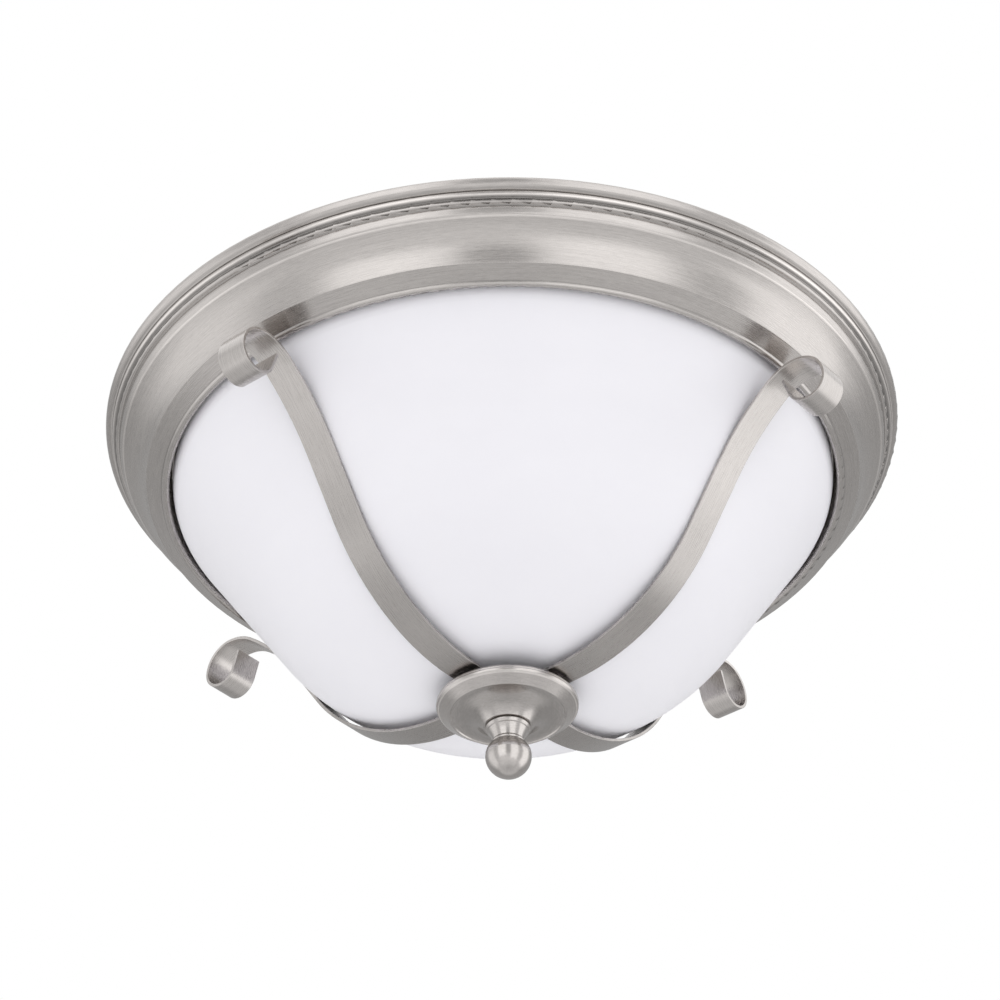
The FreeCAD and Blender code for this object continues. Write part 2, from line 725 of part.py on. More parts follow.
def strap_rivets():
    """Eight rivets with domed heads inside the cup."""
    rivets = []
    under = STRAP_TOP_Z - STRAP - HUB
    head_height = 1.4
    head_ball = 3.0
    for side in range(4):
        for place in RIVET_PLACES:
            shank = Part.makeCylinder(RIVET_R, STRAP + HUB, vec(place, 0, under))
            head = Part.makeSphere(head_ball, vec(place, 0, under - head_height + head_ball))
            head = head.common(Part.makeCylinder(head_ball, head_height, vec(place, 0, under - head_height)))
            rivet = shank.fuse(head)
            rivet.rotate(ORIGIN, UP, 90 * side)
            rivets.append(rivet)
    return Part.makeCompound(rivets)


# ---- cup and finial -------------------------------------------------------------------------
def cup():
    """Spun cup under the hub: rolled edge, flat ring, then a dish that flares down to the neck."""
    t = CUP_SHEET
    top = CUP_TOP_Z
    foot = FINIAL_TOP_Z + 0.15
    hole = ROD_R + 0.4
    return spin(outline((30.2, top), [
        (31.1, top),
        (32.2, top - 0.4, 32.4, top - 1.6),
        (32.2, top - 2.8, 31.4, top - 3.6),
        (26.9, top - 6.8),
        (26.5, top - 6.95, 26.1, top - 6.7),
        (25.8, top - 6.4),
        (17.6, top - 7.6, 11.2, foot),
        (hole, foot),
        (hole, foot + t),
        (10.3, foot + t),
        (17.0, top - 6.6, 25.8, top - 5.2),
        (26.7, top - 5.6),
        (30.7, top - 2.8),
        (31.3, top - 2.1, 31.3, top - 1.5),
        (30.9, top - 0.9),
        (30.2, top - 0.9),
    ]))


def cup_spacer():
    """Tube inside the cup that carries the pull of the finial to the hub."""
    hub_bottom = STRAP_TOP_Z - STRAP - HUB
    return ring(ROD_R + 0.45, 8.0, FINIAL_TOP_Z + 0.15 + CUP_SHEET, hub_bottom - 0.15)


def finial():
    """Turned in one piece: collar, tapered neck, second collar and ball, with a blind thread."""
    top = FINIAL_TOP_Z
    shoulder_z = top - 8.7
    face = outline((FINIAL_BORE_R, top), [
        (9.3, top),
        (10.15, top - 0.3, 10.2, top - 1.0),
        (9.6, top - 2.0),
        (9.1, top - 2.3),
        (7.7, top - 4.8, 6.95, top - 7.1),
        (7.1, top - 7.4),
        (7.5, top - 8.0, 7.3, shoulder_z),
        (9.66, -172.43, BALL_R, BALL_Z),
        (BALL_R * math.sqrt(0.5), BALL_Z - BALL_R * math.sqrt(0.5), 0, BALL_Z - BALL_R),
        (0, FINIAL_BORE_END_Z),
        (FINIAL_BORE_R, FINIAL_BORE_END_Z),
    ])
    return spin(face)


def main():
    os.makedirs("parts", exist_ok=True)

    save("canopy_pan", canopy_pan())
    save("insulation_pad", insulation_pad())
    save("crossbar", crossbar())
    save("ground_screw", ground_screw())
    save("pan_studs", pan_studs())
    save("stud_nuts", stud_nuts())
    save("cap_nuts", cap_nuts())
    save("threaded_rod", threaded_rod())
    save("rod_nut_upper", rod_nut(PLATE_Z + PAN_SHEET + 0.9 + 3.2))
    save("rod_washer", rod_washer())
    save("rod_nut_lower", rod_nut(PLATE_Z))
    save("glass_gasket", glass_gasket())

    pairs = {
        "socket_bracket": socket_bracket(),
        "socket_body": socket_body(),
        "socket_shell": socket_shell(),
        "socket_contact": socket_contact(),
        "grommet": grommet(),
        "lamp_tip": lamp_tip(),
        "lamp_base": lamp_base(),
        "lamp_globe": lamp_globe(),
    }
    for name, shape in pairs.items():
        save(name + "_1", shape)
        save(name + "_2", half_turn(shape))
    save("bracket_screws", bracket_screws())
    save("socket_screws", socket_screws())

    direct = lead_direct()
    around = lead_round()
    connector = wire_connector()
    save("lead_black_1", direct)
    save("lead_white_1", around)
    save("lead_white_2", half_turn(direct))
    save("lead_black_2", half_turn(around))
    save("connector_black", connector)
    save("connector_white", half_turn(connector))
    save("earth_lead", earth_lead())
    save("earth_screw", earth_screw())

    save("glass_bowl", glass_bowl())
    save("felt_washer", felt_washer())
    one_strap = strap()
    for number in range(4):
        turned = one_strap.copy()
        turned.rotate(ORIGIN, UP, 90 * number)
        save("strap_%d" % (number + 1), turned)
    save("strap_hub", strap_hub())
    save("strap_rivets", strap_rivets())
    save("cup", cup())
    save("cup_spacer", cup_spacer())
    save("finial", finial())


main()
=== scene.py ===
import math

import bmesh
import bpy
from mathutils import Matrix, Vector, noise


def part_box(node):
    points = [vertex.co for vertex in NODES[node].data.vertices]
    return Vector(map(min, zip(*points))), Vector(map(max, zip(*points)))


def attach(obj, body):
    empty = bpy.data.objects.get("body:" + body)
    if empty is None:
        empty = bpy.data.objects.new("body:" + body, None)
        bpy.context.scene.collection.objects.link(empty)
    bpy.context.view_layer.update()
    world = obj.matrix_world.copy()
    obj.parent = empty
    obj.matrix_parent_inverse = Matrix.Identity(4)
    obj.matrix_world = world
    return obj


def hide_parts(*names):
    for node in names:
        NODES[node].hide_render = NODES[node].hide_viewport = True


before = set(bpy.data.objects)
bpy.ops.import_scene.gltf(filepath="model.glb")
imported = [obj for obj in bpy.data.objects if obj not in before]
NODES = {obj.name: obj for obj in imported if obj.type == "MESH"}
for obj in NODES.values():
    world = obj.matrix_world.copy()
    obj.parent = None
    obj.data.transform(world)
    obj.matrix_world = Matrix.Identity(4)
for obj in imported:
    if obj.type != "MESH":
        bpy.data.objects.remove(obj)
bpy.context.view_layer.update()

INCH = 0.0254

# ---- camera: fitted to the pan's rim, the glass, the straps and the finial -------------------
AZIMUTH = math.radians(38.6)
ELEVATION = math.radians(36.535)   # the camera looks up by this much
ROLL = 0.0192                      # radians
DISTANCE = 1.4
LENS = 105.51
SENSOR_WIDTH = 36.0
CLIP_START = 0.01
CLIP_END = 50.0
TARGET_SIDE = -0.0016
TARGET_Z = -0.03295

# ---- floor and light -------------------------------------------------------------------------
FLOOR_Z = -1.75
FLOOR_HALF = 30.0
OVERHEAD_PLACE = (0.0, 0.0, 1.7)
OVERHEAD_SIZE = 0.9
OVERHEAD_POWER = 5.0

# the parts of a noise texture's reach that a tone or a roughness is spread over
NARROW = (0.38, 0.62)
MIDDLE = (0.35, 0.65)
WIDE = (0.3, 0.7)


# ---- node helpers ----------------------------------------------------------------------------
class Nodes:
    """Short calls for building a node tree."""

    def __init__(self, tree):
        self.tree = tree
        self.coords = tree.nodes.new("ShaderNodeTexCoord")

    def add(self, kind, **settings):
        node = self.tree.nodes.new(kind)
        for key, value in settings.items():
            setattr(node, key, value)
        return node

    def wire(self, source, target):
        self.tree.links.new(source, target)

    def feed(self, socket, value):
        """Wires a socket, or sets it to a plain value."""
        if isinstance(value, bpy.types.NodeSocket):
            self.wire(value, socket)
        else:
            socket.default_value = value

    def math(self, operation, a, b=0.0):
        node = self.add("ShaderNodeMath", operation=operation)
        self.feed(node.inputs[0], a)
        self.feed(node.inputs[1], b)
        return node.outputs[0]

    def times(self, a, b):
        return self.math("MULTIPLY", a, b)

    def plus(self, a, b):
        return self.math("ADD", a, b)

    def minus(self, a, b):
        return self.math("SUBTRACT", a, b)

    def blend(self, a, b, share):
        """share of a, and the rest of b."""
        return self.plus(self.times(a, share), self.times(b, 1.0 - share))

    def length(self, a, b):
        """Length of the flat vector (a, b)."""
        return self.math("SQRT", self.plus(self.times(a, a), self.times(b, b)))

    def place(self):
        return self.coords.outputs["Object"]

    def xyz(self, vector=None):
        node = self.add("ShaderNodeSeparateXYZ")
        self.wire(vector or self.place(), node.inputs[0])
        return node.outputs

    def combine(self, x, y, z):
        node = self.add("ShaderNodeCombineXYZ")
        for socket, value in zip(node.inputs, (x, y, z)):
            self.feed(socket, value)
        return node.outputs[0]

    def scaled(self, scale, rotation=(0.0, 0.0, 0.0)):
        node = self.add("ShaderNodeMapping")
        self.wire(self.place(), node.inputs["Vector"])
        node.inputs["Rotation"].default_value = rotation
        node.inputs["Scale"].default_value = scale
        return node.outputs[0]

    def noise(self, vector, scale=1.0, detail=3.0, rough=0.55, distortion=0.0):
        node = self.add("ShaderNodeTexNoise")
        self.wire(vector, node.inputs["Vector"])
        node.inputs["Scale"].default_value = scale
        node.inputs["Detail"].default_value = detail
        node.inputs["Roughness"].default_value = rough
        node.inputs["Distortion"].default_value = distortion
        return node.outputs["Fac"]

    def ramp(self, value, stops):
        node = self.add("ShaderNodeValToRGB")
        self.wire(value, node.inputs[0])
        points = node.color_ramp.elements
        while len(points) < len(stops):
            points.new(0.5)
        for point, (place, colour) in zip(points, stops):
            point.position = place
            point.color = (*colour, 1.0)
        return node.outputs[0]

    def grey_ramp(self, value, stops):
        return self.ramp(value, [(place, (tone, tone, tone)) for place, tone in stops])

    def map_range(self, value, reach, low, high, kind="LINEAR"):
        node = self.add("ShaderNodeMapRange", interpolation_type=kind)
        self.wire(value, node.inputs["Value"])
        node.inputs["From Min"].default_value = reach[0]
        node.inputs["From Max"].default_value = reach[1]
        node.inputs["To Min"].default_value = low
        node.inputs["To Max"].default_value = high
        return node.outputs[0]

    def span(self, value, low, high, reach):
        """low to high, while the value crosses its reach."""
        return self.map_range(value, reach, low, high)

    def window(self, value, centre, half, soft):
        """1 within half of centre, falling smoothly to 0 over soft."""
        away = self.math("ABSOLUTE", self.minus(value, centre))
        return self.map_range(away, (half, half + soft), 1.0, 0.0, "SMOOTHSTEP")

    def tint(self, value, dark, light, reach=WIDE):
        """Colour between two tones, driven by a texture."""
        return self.ramp(value, [(reach[0], dark), (reach[1], light)])


class Graph(Nodes):
    """One material and its nodes."""

    def __init__(self, name):
        self.material = bpy.data.materials.new(name)
        self.material.use_nodes = True
        super().__init__(self.material.node_tree)
        self.shader = self.tree.nodes["Principled BSDF"]

    def colour(self, socket):
        self.wire(socket, self.shader.inputs["Base Color"])

    def roughness(self, socket_or_value):
        self.feed(self.shader.inputs["Roughness"], socket_or_value)

    def bump(self, height, strength, distance, below=None):
        node = self.add("ShaderNodeBump")
        node.inputs["Strength"].default_value = strength
        node.inputs["Distance"].default_value = distance
        self.wire(height, node.inputs["Height"])
        if below is not None:
            self.wire(below, node.inputs["Normal"])
        self.wire(node.outputs[0], self.shader.inputs["Normal"])

    def set(self, **values):
        for key, value in values.items():
            self.shader.inputs[key.replace("_", " ")].default_value = value


# ---- the turned metal's directions -----------------------------------------------------------
NEAR_AXIS = 0.0005   # metres; inside it the direction round the axis fades out

# round bands down the pan's side: (top height, foot height, centre radius, centre height), in metres
PAN_BANDS = ((-0.00060, -0.00480, 0.186961, -0.001271), (-0.00495, -0.00740, 0.185668, -0.005788),
             (-0.00820, -0.00990, 0.184147, -0.008642), (-0.01030, -0.01480, 0.178663, -0.011165))
PAN_BANDS_INSIDE = 0.1812   # the bands' smallest radius


def around_axis(graph):
    """(cos, sin, radius, height) of a point about the vertical axis, free of a seam."""
    x, y, z = graph.xyz()
    radius = graph.length(x, y)
    safe = graph.math("MAXIMUM", radius, NEAR_AXIS)
    return graph.math("DIVIDE", x, safe), graph.math("DIVIDE", y, safe), radius, z


def round_normal(graph, cosine, sine, radius, height, bands):
    """The surface's normal with no part along the turning direction, and exact on the round bands."""
    own_x, own_y, upward = graph.xyz(graph.coords.outputs["Normal"])
    outward = graph.plus(graph.times(own_x, cosine), graph.times(own_y, sine))
    for top, foot, centre_radius, centre_height in bands:
        inside = graph.times(graph.math("LESS_THAN", height, top), graph.math("GREATER_THAN", height, foot))
        inside = graph.times(inside, graph.math("GREATER_THAN", radius, PAN_BANDS_INSIDE))
        outside = graph.minus(1.0, inside)
        out = graph.times(graph.minus(radius, centre_radius), inside)
        lift = graph.times(graph.minus(height, centre_height), inside)
        outward = graph.plus(graph.times(outward, outside), out)
        upward = graph.plus(graph.times(upward, outside), lift)
    unit = graph.add("ShaderNodeVectorMath", operation="NORMALIZE")
    both = graph.combine(graph.times(outward, cosine), graph.times(outward, sine), upward)
    graph.wire(both, unit.inputs[0])
    world = graph.add("ShaderNodeVectorTransform", vector_type="NORMAL", convert_from="OBJECT",
                      convert_to="WORLD")
    graph.wire(unit.outputs[0], world.inputs[0])
    return world.outputs[0]


# ---- metals ----------------------------------------------------------------------------------
NICKEL = (0.500, 0.474, 0.457)
NICKEL_SHADE = 0.86
NICKEL_SHINE = 1.12
CUP_FACTOR = 1.02      # the cup's tone over the pan's
BRUSH_SLANT = 1.37     # how much height counts beside radius across the brushing
BRUSH_ROUGH = 0.6

# round lines of painted shade and painted highlight: (radius, height, half-width, depth), in metres. A depth
# above 0 paints shade into grooves and over the cup's dish; a depth below 0 paints a highlight along an
# edge.
PAN_PAINTED_LINES = ((0.1871, -0.0050, 0.00040, 0.45), (0.1856, -0.0080, 0.00095, 0.42),
             (0.1835, -0.0101, 0.00040, 0.30), (0.1876, -0.0046, 0.00035, -0.35),
             (0.1869, -0.0067, 0.00050, -0.40), (0.1840, -0.0098, 0.00035, -0.20),
             (0.1815, -0.0147, 0.00055, -0.35), (0.1622, -0.0351, 0.00060, 0.25))
# the cup's dish gets painted shade, and its rim's lower edge a painted highlight
CUP_PAINTED_LINES = ((0.0170, -0.1560, 0.00800, 0.16), (0.0314, -0.1512, 0.00045, -0.40))
LINE_CORE = 0.4        # the share of a line's half-width that has its full depth

# painted light and shade on the straps, darker low and lighter high: (share of the way up STRAP_HEIGHTS,
# tone)
STRAP_HEIGHTS = (-0.150, -0.030)
STRAP_PAINTED_LIGHT = ((0.0, 0.86), (0.38, 0.86), (0.56, 0.99), (0.76, 1.0), (0.86, 1.16))


def nickel_tones(factor=1.0):
    shade = tuple(c * NICKEL_SHADE * factor for c in NICKEL)
    shine = tuple(c * NICKEL_SHINE * factor for c in NICKEL)
    return shade, shine


def with_painted_lines(graph, colour, radius, height, lines):
    """Paints shade into the colour along grooves and over the cup's dish, and paints highlights along edges.
    """
    for line_radius, line_height, half, depth in lines:
        away = graph.length(graph.minus(radius, line_radius), graph.minus(height, line_height))
        painted_line_mask = graph.window(away, 0.0, half * LINE_CORE, half)
        scale = graph.add("ShaderNodeVectorMath", operation="SCALE")
        graph.wire(colour, scale.inputs[0])
        graph.wire(graph.minus(1.0, graph.times(painted_line_mask, depth)), scale.inputs["Scale"])
        colour = scale.outputs[0]
    return colour


def spun_nickel(name, grain, roughness, painted_lines=(), bands=(), factor=1.0):
    """Nickel brushed round the axis while it spun. grain is in lines per metre across the brushing."""
    g = Graph(name)
    cosine, sine, radius, z = around_axis(g)
    across = g.plus(radius, g.times(z, BRUSH_SLANT))

    def lines(turn, per_metre, detail):
        at = g.combine(g.times(cosine, turn), g.times(sine, turn), g.times(across, per_metre))
        return g.noise(at, detail=detail, rough=BRUSH_ROUGH)

    brushed = g.blend(lines(turn=7.0, per_metre=grain, detail=3.0),
                      lines(turn=45.0, per_metre=grain * 1.7, detail=2.0), 0.5)
    clouds = g.noise(g.place(), scale=28.0, rough=0.5)
    # painted shade along the grooves and painted highlights along the edges go into the colour here
    g.colour(with_painted_lines(g, g.tint(brushed, *nickel_tones(factor), NARROW), radius, z, painted_lines))
    g.roughness(g.plus(g.span(brushed, roughness - 0.04, roughness + 0.06, MIDDLE),
                       g.span(clouds, -0.015, 0.02, WIDE)))
    g.bump(brushed, strength=0.10, distance=0.00008, below=round_normal(g, cosine, sine, radius, z, bands))
    g.set(Metallic=1.0, Anisotropic=0.30, Anisotropic_Rotation=0.25)
    tangent = g.add("ShaderNodeTangent", direction_type="RADIAL", axis="Z")
    g.wire(tangent.outputs[0], g.shader.inputs["Tangent"])
    return g.material


def strap_nickel(name, along_x):
    """Nickel with a fine grain along the strap, and light and shade painted in by height."""
    g = Graph(name)
    x, y, z = g.xyz()
    run, side = (x, y) if along_x else (y, x)

    def lines(along, across, detail):
        at = g.combine(g.times(run, along), g.times(side, across), g.times(z, along))
        return g.noise(at, detail=detail, rough=BRUSH_ROUGH)

    brushed = g.blend(lines(along=60.0, across=4200.0, detail=3.0),
                      lines(along=240.0, across=7000.0, detail=2.0), 0.6)
    # painted shade low on the straps and painted light high on them
    level = g.grey_ramp(g.span(z, 0.0, 1.0, STRAP_HEIGHTS), STRAP_PAINTED_LIGHT)
    scale = g.add("ShaderNodeVectorMath", operation="MULTIPLY")
    g.wire(g.tint(brushed, *nickel_tones(), NARROW), scale.inputs[0])
    g.wire(level, scale.inputs[1])
    g.colour(scale.outputs[0])
    g.roughness(g.span(brushed, 0.24, 0.33, MIDDLE))
    g.bump(brushed, strength=0.06, distance=0.00006)
    g.set(Metallic=1.0, Anisotropic=0.3)
    g.wire(g.combine(0.0 if along_x else 1.0, 1.0 if along_x else 0.0, 0.0), g.shader.inputs["Tangent"])
    return g.material


def plated(name, dark, light, roughness, spangle=160.0, thread=None):
    """Plated or plain small metal. thread is (axis, pitch in metres) for pieces with a screw thread."""
    g = Graph(name)
    spots = g.noise(g.place(), scale=spangle, rough=0.6)
    scratches = g.noise(g.scaled((900.0, 140.0, 900.0)), detail=2.0, rough=0.6)
    tone = g.blend(spots, scratches, 0.7)
    g.colour(g.tint(tone, dark, light, NARROW))
    g.roughness(g.span(tone, roughness - 0.08, roughness + 0.1, WIDE))
    if thread:
        axis, pitch = thread
        height = g.math("SINE", g.times(g.xyz()["XYZ".index(axis)], 2 * math.pi / pitch))
        g.bump(height, strength=0.9, distance=pitch * 0.25)
    else:
        g.bump(tone, strength=0.08, distance=0.0002)
    g.set(Metallic=1.0)
    return g.material


# ---- glass -----------------------------------------------------------------------------------
GLASS_SCATTER = dict(Subsurface_Scale=0.004, Subsurface_Radius=(1.0, 1.0, 1.0))


def opal_glass():
    """White opal glass, etched satin: light gets a little way in, and faint clouds show."""
    g = Graph("opal_glass_satin")
    clouds = g.noise(g.place(), scale=9.0, rough=0.5)
    flow = g.noise(g.scaled((30.0, 30.0, 90.0)), rough=0.5)
    g.colour(g.tint(g.blend(clouds, flow, 0.6), (0.826, 0.816, 0.858), (0.848, 0.838, 0.878)))
    g.roughness(g.span(g.noise(g.place(), scale=60.0), 0.42, 0.52, WIDE))
    g.bump(g.noise(g.place(), scale=900.0, detail=2.0), strength=0.03, distance=0.0001)
    g.set(IOR=1.5, Subsurface_Weight=0.25, Coat_Weight=0.12, Coat_Roughness=0.28, **GLASS_SCATTER)
    return g.material


def frosted_glass():
    g = Graph("lamp_frosted_glass")
    clouds = g.noise(g.place(), scale=40.0)
    g.colour(g.tint(clouds, (0.86, 0.86, 0.83), (0.92, 0.92, 0.90)))
    g.roughness(g.span(clouds, 0.34, 0.44, WIDE))
    g.bump(g.noise(g.place(), scale=1400.0, detail=2.0), strength=0.05, distance=0.0001)
    g.set(IOR=1.5, Subsurface_Weight=0.35, Coat_Weight=0.25, Coat_Roughness=0.2, **GLASS_SCATTER)
    return g.material


def porcelain():
    g = Graph("glazed_porcelain")
    clouds = g.noise(g.place(), scale=55.0, detail=4.0)
    specks = g.noise(g.place(), scale=950.0, detail=2.0, rough=0.7)
    mix = g.add("ShaderNodeMix", data_type="RGBA")
    g.wire(g.span(specks, 0.0, 1.0, (0.74, 0.80)), mix.inputs["Factor"])
    g.wire(g.tint(clouds, (0.80, 0.785, 0.735), (0.87, 0.86, 0.82)), mix.inputs["A"])
    mix.inputs["B"].default_value = (0.48, 0.42, 0.34, 1.0)
    g.colour(mix.outputs["Result"])
    g.roughness(g.span(clouds, 0.16, 0.30, WIDE))
    g.bump(g.noise(g.place(), scale=210.0), strength=0.06, distance=0.0004)
    g.set(Coat_Weight=0.7, Coat_Roughness=0.08, IOR=1.52)
    return g.material


# ---- plastics, rubber, lead covering, fibre, foam ----------------------------------------------
def moulded(name, dark, light, roughness, fine=1100.0):
    """Plain moulded or drawn material. fine is the scale of its surface grain."""
    g = Graph(name)
    clouds = g.noise(g.place(), scale=85.0, detail=4.0)
    grain = g.noise(g.place(), scale=fine, rough=0.6)
    g.colour(g.tint(g.blend(clouds, grain, 0.6), dark, light))
    g.roughness(g.span(grain, roughness - 0.06, roughness + 0.08, WIDE))
    g.bump(grain, strength=0.25, distance=0.0001)
    return g.material


def fibrous(name, dark, light, strand, depth, tufts):
    """Felted or loose fibre: strands at several angles over a cloudy ground."""
    g = Graph(name)
    strands = None
    for turn, share in ((0.0, 0.4), (1.05, 0.3), (2.1, 0.3)):
        at = g.scaled((strand, strand * 0.09, strand), rotation=(0.4 * turn, 0.3, turn))
        part = g.times(g.noise(at, rough=0.7, distortion=0.6), share)
        strands = part if strands is None else g.plus(strands, part)
    clouds = g.noise(g.place(), scale=tufts, detail=4.0, rough=0.6)
    tone = g.blend(strands, clouds, 0.7)
    g.colour(g.tint(tone, dark, light, (0.38, 0.60)))
    g.roughness(g.span(tone, 0.82, 0.98, WIDE))
    g.bump(tone, strength=0.8, distance=depth)
    g.set(Sheen_Weight=0.35, Sheen_Roughness=0.5)
    return g.material


def foam():
    g = Graph("gasket_foam")
    cells = g.add("ShaderNodeTexVoronoi", feature="F1")
    g.wire(g.place(), cells.inputs["Vector"])
    cells.inputs["Scale"].default_value = 1500.0
    holes = cells.outputs["Distance"]
    g.colour(g.tint(holes, (0.74, 0.735, 0.71), (0.86, 0.855, 0.83), (0.1, 0.6)))
    g.roughness(g.span(holes, 0.95, 0.75, (0.1, 0.7)))
    g.bump(holes, strength=0.5, distance=0.0004)
    return g.material


# ---- which node gets which material ----------------------------------------------------------
THREAD_DARK = (0.50, 0.51, 0.52)
THREAD_LIGHT = (0.66, 0.67, 0.68)


def dress(material, *names):
    for name in names:
        data = NODES[name].data
        data.materials.clear()
        data.materials.append(material)


def dress_nickel():
    # the pan and the cup get painted shade and painted highlights from their tables of lines
    dress(spun_nickel("pan_brushed_nickel", 2200.0, 0.24, PAN_PAINTED_LINES, PAN_BANDS), "canopy_pan")
    dress(spun_nickel("cup_brushed_nickel", 3000.0, 0.20, CUP_PAINTED_LINES, factor=CUP_FACTOR), "cup")
    dress(spun_nickel("finial_brushed_nickel", 3000.0, 0.20), "finial")
    dress(strap_nickel("strap_nickel_x", along_x=True), "strap_1", "strap_3")
    dress(strap_nickel("strap_nickel_y", along_x=False), "strap_2", "strap_4")


def dress_small_metal():
    dress(plated("zinc_plate", (0.50, 0.51, 0.52), (0.68, 0.69, 0.70), 0.33),
          "crossbar", "stud_nuts", "rod_nut_upper", "rod_nut_lower", "rod_washer", "strap_hub",
          "strap_rivets", "cup_spacer", "bracket_screws", "socket_screws", "earth_screw")
    dress(plated("bracket_plate", (0.52, 0.53, 0.53), (0.66, 0.67, 0.68), 0.40, spangle=70.0),
          "socket_bracket_1", "socket_bracket_2")
    dress(plated("rod_thread", THREAD_DARK, THREAD_LIGHT, 0.30, thread=("Z", INCH / 27)), "threaded_rod")
    dress(plated("stud_thread", THREAD_DARK, THREAD_LIGHT, 0.30, thread=("Z", INCH / 32)), "pan_studs")
    dress(plated("green_zinc", (0.04, 0.24, 0.09), (0.08, 0.38, 0.16), 0.32), "ground_screw")
    dress(plated("knurled_brass", (0.58, 0.41, 0.17), (0.76, 0.57, 0.27), 0.26),
          "cap_nuts", "socket_contact_1", "socket_contact_2")
    dress(plated("lamp_cap_aluminium", (0.66, 0.66, 0.64), (0.80, 0.80, 0.78), 0.30),
          "lamp_base_1", "lamp_base_2")
    dress(plated("shell_aluminium_thread", (0.60, 0.60, 0.58), (0.76, 0.76, 0.74), 0.30,
                 thread=("X", INCH / 7)), "socket_shell_1", "socket_shell_2")


def dress_other():
    dress(opal_glass(), "glass_bowl")
    dress(frosted_glass(), "lamp_globe_1", "lamp_globe_2")
    dress(porcelain(), "socket_body_1", "socket_body_2")
    dress(moulded("black_rubber_bush", (0.020, 0.020, 0.021), (0.045, 0.045, 0.046), 0.62),
          "grommet_1", "grommet_2")
    dress(moulded("black_lamp_glass", (0.020, 0.020, 0.024), (0.040, 0.040, 0.046), 0.14, fine=300.0),
          "lamp_tip_1", "lamp_tip_2")
    dress(moulded("black_lead_covering", (0.022, 0.022, 0.023), (0.042, 0.042, 0.043), 0.40),
          "lead_black_1", "lead_black_2")
    dress(moulded("white_lead_covering", (0.74, 0.73, 0.70), (0.83, 0.82, 0.79), 0.42),
          "lead_white_1", "lead_white_2")
    dress(moulded("green_lead_covering", (0.03, 0.25, 0.09), (0.05, 0.33, 0.13), 0.40), "earth_lead")
    dress(moulded("orange_connector", (0.72, 0.22, 0.03), (0.86, 0.31, 0.06), 0.42),
          "connector_black", "connector_white")


# ---- soft pieces that stand for plain solids ---------------------------------------------------
LUMPS = 120.0            # scale of a soft piece's unevenness
RIM_GAP = 0.0001         # a soft ring's outer edge stays this far inside its solid's
PAD_HOLE = 0.108         # radii of the holes, in metres
GASKET_HOLE = 0.1516
FELT_HOLE = 0.0066
PAD_GAP = 0.0006
PAD_TOP_GAP = 0.0012
PAD_FOOT_GAP = 0.0002


def ring_piece(name, section, material, wobble, seed, around=240):
    """Ring from a closed (radius, height) section, with a soft unevenness that depends on the place."""
    mesh = bpy.data.meshes.new(name)
    piece = bpy.data.objects.new(name, mesh)
    bpy.context.scene.collection.objects.link(piece)
    shape = bmesh.new()
    count = len(section)
    centre_r = sum(r for r, _ in section) / count
    centre_z = sum(z for _, z in section) / count
    rows = []
    for i in range(around):
        angle = 2 * math.pi * i / around
        row = []
        for r, z in section:
            at = Vector((r * math.cos(angle), r * math.sin(angle), z))
            soft = 1.0 - wobble * (0.5 + 0.5 * noise.noise(at * LUMPS + Vector((seed, 0.0, 0.0))))
            soft_r = centre_r + (r - centre_r) * soft
            soft_z = centre_z + (z - centre_z) * soft
            row.append(shape.verts.new((soft_r * math.cos(angle), soft_r * math.sin(angle), soft_z)))
        rows.append(row)
    for i in range(around):
        here, there = rows[i], rows[(i + 1) % around]
        for k in range(count):
            n = (k + 1) % count
            shape.faces.new((here[k], there[k], there[n], here[n]))
    bmesh.ops.recalc_face_normals(shape, faces=shape.faces)
    for face in shape.faces:
        face.smooth = True
    shape.to_mesh(mesh)
    shape.free()
    mesh.materials.append(material)
    return piece


def rounded_section(r0, r1, z0, z1, corner, crown=0.0, steps=5, per_side=14):
    """Rectangle with round corners whose sides bulge by crown, as points in order."""
    points = []
    corners = (((r1 - corner, z1 - corner), 0.0), ((r0 + corner, z1 - corner), 90.0),
               ((r0 + corner, z0 + corner), 180.0), ((r1 - corner, z0 + corner), 270.0))
    for (centre_r, centre_z), start in corners:
        for k in range(steps + 1):
            turn = math.radians(start + 90.0 * k / steps)
            points.append((centre_r + corner * math.cos(turn), centre_z + corner * math.sin(turn)))
        from_r, from_z = points[-1]
        to_r, to_z = from_r, from_z
        if start in (0.0, 180.0):      # along the top or the bottom
            to_r = r0 + corner if start == 0.0 else r1 - corner
        else:
            to_z = z0 + corner if start == 90.0 else z1 - corner
        for k in range(1, per_side):
            t = k / per_side
            lift = crown * 4 * t * (1 - t)
            points.append((from_r + (to_r - from_r) * t + lift * math.cos(turn),
                           from_z + (to_z - from_z) * t + lift * math.sin(turn)))
    return points


def soft_pieces():
    low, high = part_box("insulation_pad")
    section = rounded_section(PAD_HOLE + PAD_GAP, high.x - PAD_GAP, low.z + PAD_FOOT_GAP,
                              high.z - PAD_TOP_GAP, corner=0.0028, crown=0.0008)
    wool = fibrous("fibre_pad_wool", (0.56, 0.46, 0.24), (0.84, 0.76, 0.52), strand=700.0, depth=0.0012,
                   tufts=60.0)
    pad = ring_piece("fibre_pad", section, wool, wobble=0.05, seed=3.0)
    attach(pad, "fixture")
    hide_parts("insulation_pad")

    low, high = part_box("glass_gasket")
    section = rounded_section(GASKET_HOLE, high.x - RIM_GAP, low.z, high.z, corner=0.0004, steps=4,
                              per_side=6)
    gasket = ring_piece("foam_gasket", section, foam(), wobble=0.03, seed=11.0, around=300)
    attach(gasket, "fixture")
    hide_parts("glass_gasket")

    low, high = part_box("felt_washer")
    section = rounded_section(FELT_HOLE, high.x - RIM_GAP, low.z, high.z, corner=0.0005, steps=4, per_side=8)
    wool = fibrous("washer_felt", (0.58, 0.57, 0.54), (0.80, 0.79, 0.76), strand=2600.0, depth=0.0003,
                   tufts=300.0)
    felt = ring_piece("felt_ring", section, wool, wobble=0.04, seed=7.0, around=120)
    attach(felt, "glass_cage")
    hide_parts("felt_washer")


